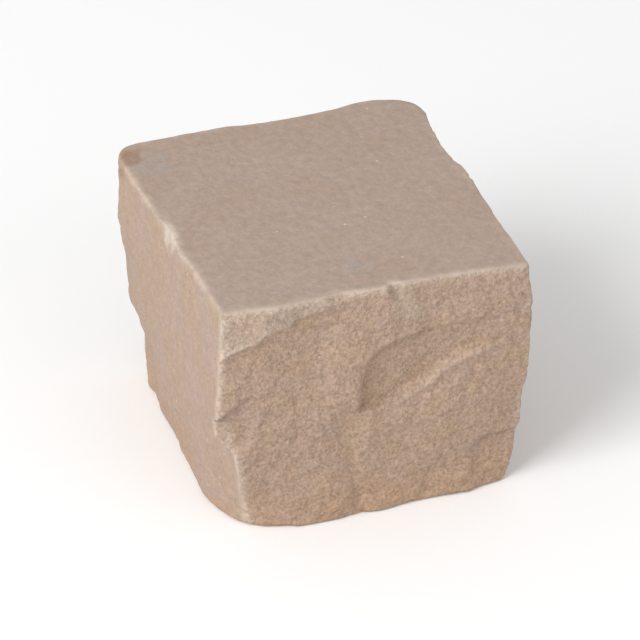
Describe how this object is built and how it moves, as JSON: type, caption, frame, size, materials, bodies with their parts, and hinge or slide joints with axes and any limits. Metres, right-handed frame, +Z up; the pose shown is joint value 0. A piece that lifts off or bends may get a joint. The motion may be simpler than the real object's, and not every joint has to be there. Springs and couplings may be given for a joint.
{
  "type": "sandstone paver",
  "caption": "Hand-split sandstone sett with a flat square head, riven sides that draw in to the foot, a shell-shaped scar and chipped arrises.",
  "frame": {"origin": "middle of the flat foot, on the level ground that the stone rests on", "axes": "+Z up from the foot to the head, +X to the right and -Y towards the viewer of the scarred front"},
  "size_m": [0.1051, 0.1071, 0.085],
  "materials": {
    "sandstone": "matt split stone with a fine sandy grain"
  },
  "bodies": {
    "root": {"sandstone_sett": "sandstone"}
  },
  "joints": []
}
